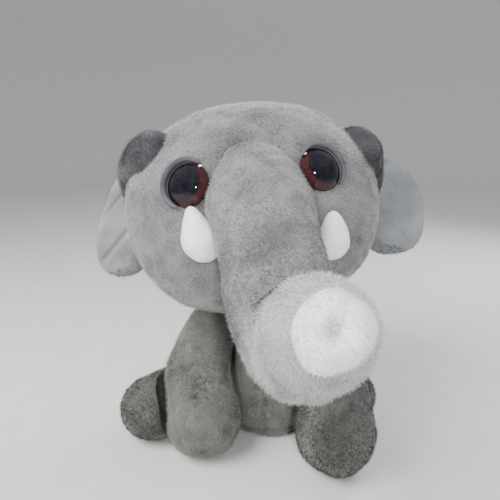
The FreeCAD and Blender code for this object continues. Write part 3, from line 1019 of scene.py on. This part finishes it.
def make_label():
    """A blank satin care label, sewn into the side seam and curling a little."""
    low, high = (np.array(corner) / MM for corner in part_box("care_label"))
    middle = (low + high) / 2
    away = unit(np.array([middle[0] - TORSO_MIDDLE[0], middle[1] - TORSO_MIDDLE[1], 0]))
    side = np.cross((0, 0, 1), away)
    columns, rows = 24, 12
    span = math.hypot(high[0] - low[0], high[1] - low[1])
    points = []
    for face in (0.18, -0.18):
        for column in range(columns + 1):
            for row in range(rows + 1):
                along, rise = column / columns, row / rows
                curl = 1.1 * math.sin(2.4 * along) * (0.6 + 0.4 * rise) + face
                points.append(middle + away * (along - 0.5) * span * 0.96 + side * curl
                              + np.array([0, 0, (rise - 0.5) * 8.6]))
    count = (columns + 1) * (rows + 1)
    faces = []
    for column in range(columns):
        for row in range(rows):
            a = column * (rows + 1) + row
            b = a + rows + 1
            faces.append((a, a + 1, b + 1, b))
            faces.append((count + a, count + b, count + b + 1, count + a + 1))
    edge = list(range(rows + 1))
    edge += [column * (rows + 1) + rows for column in range(1, columns + 1)]
    edge += [columns * (rows + 1) + row for row in range(rows - 1, -1, -1)]
    edge += [column * (rows + 1) for column in range(columns - 1, 0, -1)]
    for step in range(len(edge)):
        a, b = edge[step], edge[(step + 1) % len(edge)]
        faces.append((a, count + a, count + b, b))
    label = new_piece("care_label_satin", points, faces, satin)
    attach(label, "torso")
    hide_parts("care_label")


# ---- Camera, light and floor ----
def look(thing, target):
    way = Vector(target) - thing.location
    thing.rotation_euler = way.to_track_quat("-Z", "Y").to_euler()


def make_camera():
    """A close camera a little above the toy, looking slightly down at its face."""
    target = Vector((-0.009, -0.010, 0.112))
    elevation = math.radians(13)
    distance = 0.25
    camera = bpy.data.objects.new("camera", bpy.data.cameras.new("camera"))
    camera.data.lens = 31
    camera.data.clip_start = 0.01
    camera.location = target + Vector((0, -math.cos(elevation), math.sin(elevation))) * distance
    look(camera, target)
    bpy.context.scene.collection.objects.link(camera)
    bpy.context.scene.camera = camera


def make_light(name, place, target, size, power, color=(1, 1, 1), mirrored=True):
    """A round soft light. One that isn't mirrored doesn't show in the glossy eyes."""
    lamp = bpy.data.lights.new(name, "AREA")
    lamp.shape = "DISK"
    lamp.size = size
    lamp.energy = power
    lamp.color = color
    light = bpy.data.objects.new(name, lamp)
    light.location = place
    look(light, target)
    light.visible_glossy = mirrored
    bpy.context.scene.collection.objects.link(light)


def make_stage():
    """A plain pale floor that turns up all round like a bowl, far out, under soft studio light."""
    turns = np.linspace(0, math.pi / 2, 33)
    bend = [(2000 + 800 * math.sin(turn), 800 - 800 * math.cos(turn)) for turn in turns]
    profile = [(20, 0), (600, 0)] + bend + [(2800, 2000)]
    around = 128
    angles = np.linspace(0, 2 * math.pi, around, endpoint=False)
    points = [(reach * math.cos(turn), reach * math.sin(turn), z) for reach, z in profile for turn in angles]
    paper = speckled("floor_paper", 0.8, (0.72, 0.71, 0.69), 60.0,
                     [(0.3, (0.70, 0.69, 0.67)), (0.7, (0.74, 0.73, 0.71))])
    floor = new_piece("floor", points, [tuple(range(around))] + bands(0, len(profile), around), paper)
    world = bpy.data.worlds.new("studio")
    world.use_nodes = True
    world.node_tree.nodes["Background"].inputs["Color"].default_value = (0.80, 0.82, 0.85, 1)
    world.node_tree.nodes["Background"].inputs["Strength"].default_value = 0.8
    bpy.context.scene.world = world
    make_light("key", (-0.42, -0.34, 0.62), (0, -0.03, 0.1), 0.5, 9.0, (1.0, 0.99, 0.97), False)
    make_light("front", (0.03, -0.42, 0.24), (0, -0.02, 0.12), 0.03, 1.0)
    make_light("rim", (0.5, 0.35, 0.5), (0, 0, 0.1), 0.4, 4.0, (0.93, 0.96, 1.0), False)


def finish_inner_parts():
    """The material of what stays as the frame has it: the plastic backs of the eyes."""
    plastic = speckled("eye_plastic", 0.4, (0.03, 0.03, 0.035), 500.0,
                       [(0.3, (0.02, 0.02, 0.025)), (0.7, (0.05, 0.05, 0.055))])
    for name, node in frame["nodes"].items():
        if name.startswith(("eye_shank", "eye_washer")):
            node.data.materials.clear()
            node.data.materials.append(plastic)


make_camera()
make_stage()
head = make_head()
pile_head(head)
trunk = make_trunk()
bend_trunk(trunk)
pile_trunk(trunk)
make_tip_patch()
for side in OUTWARD:
    make_tusk(side)
    make_eye(side)
    make_lid(side)
    make_ear(side)
make_body()
make_pouch()
make_label()
finish_inner_parts()
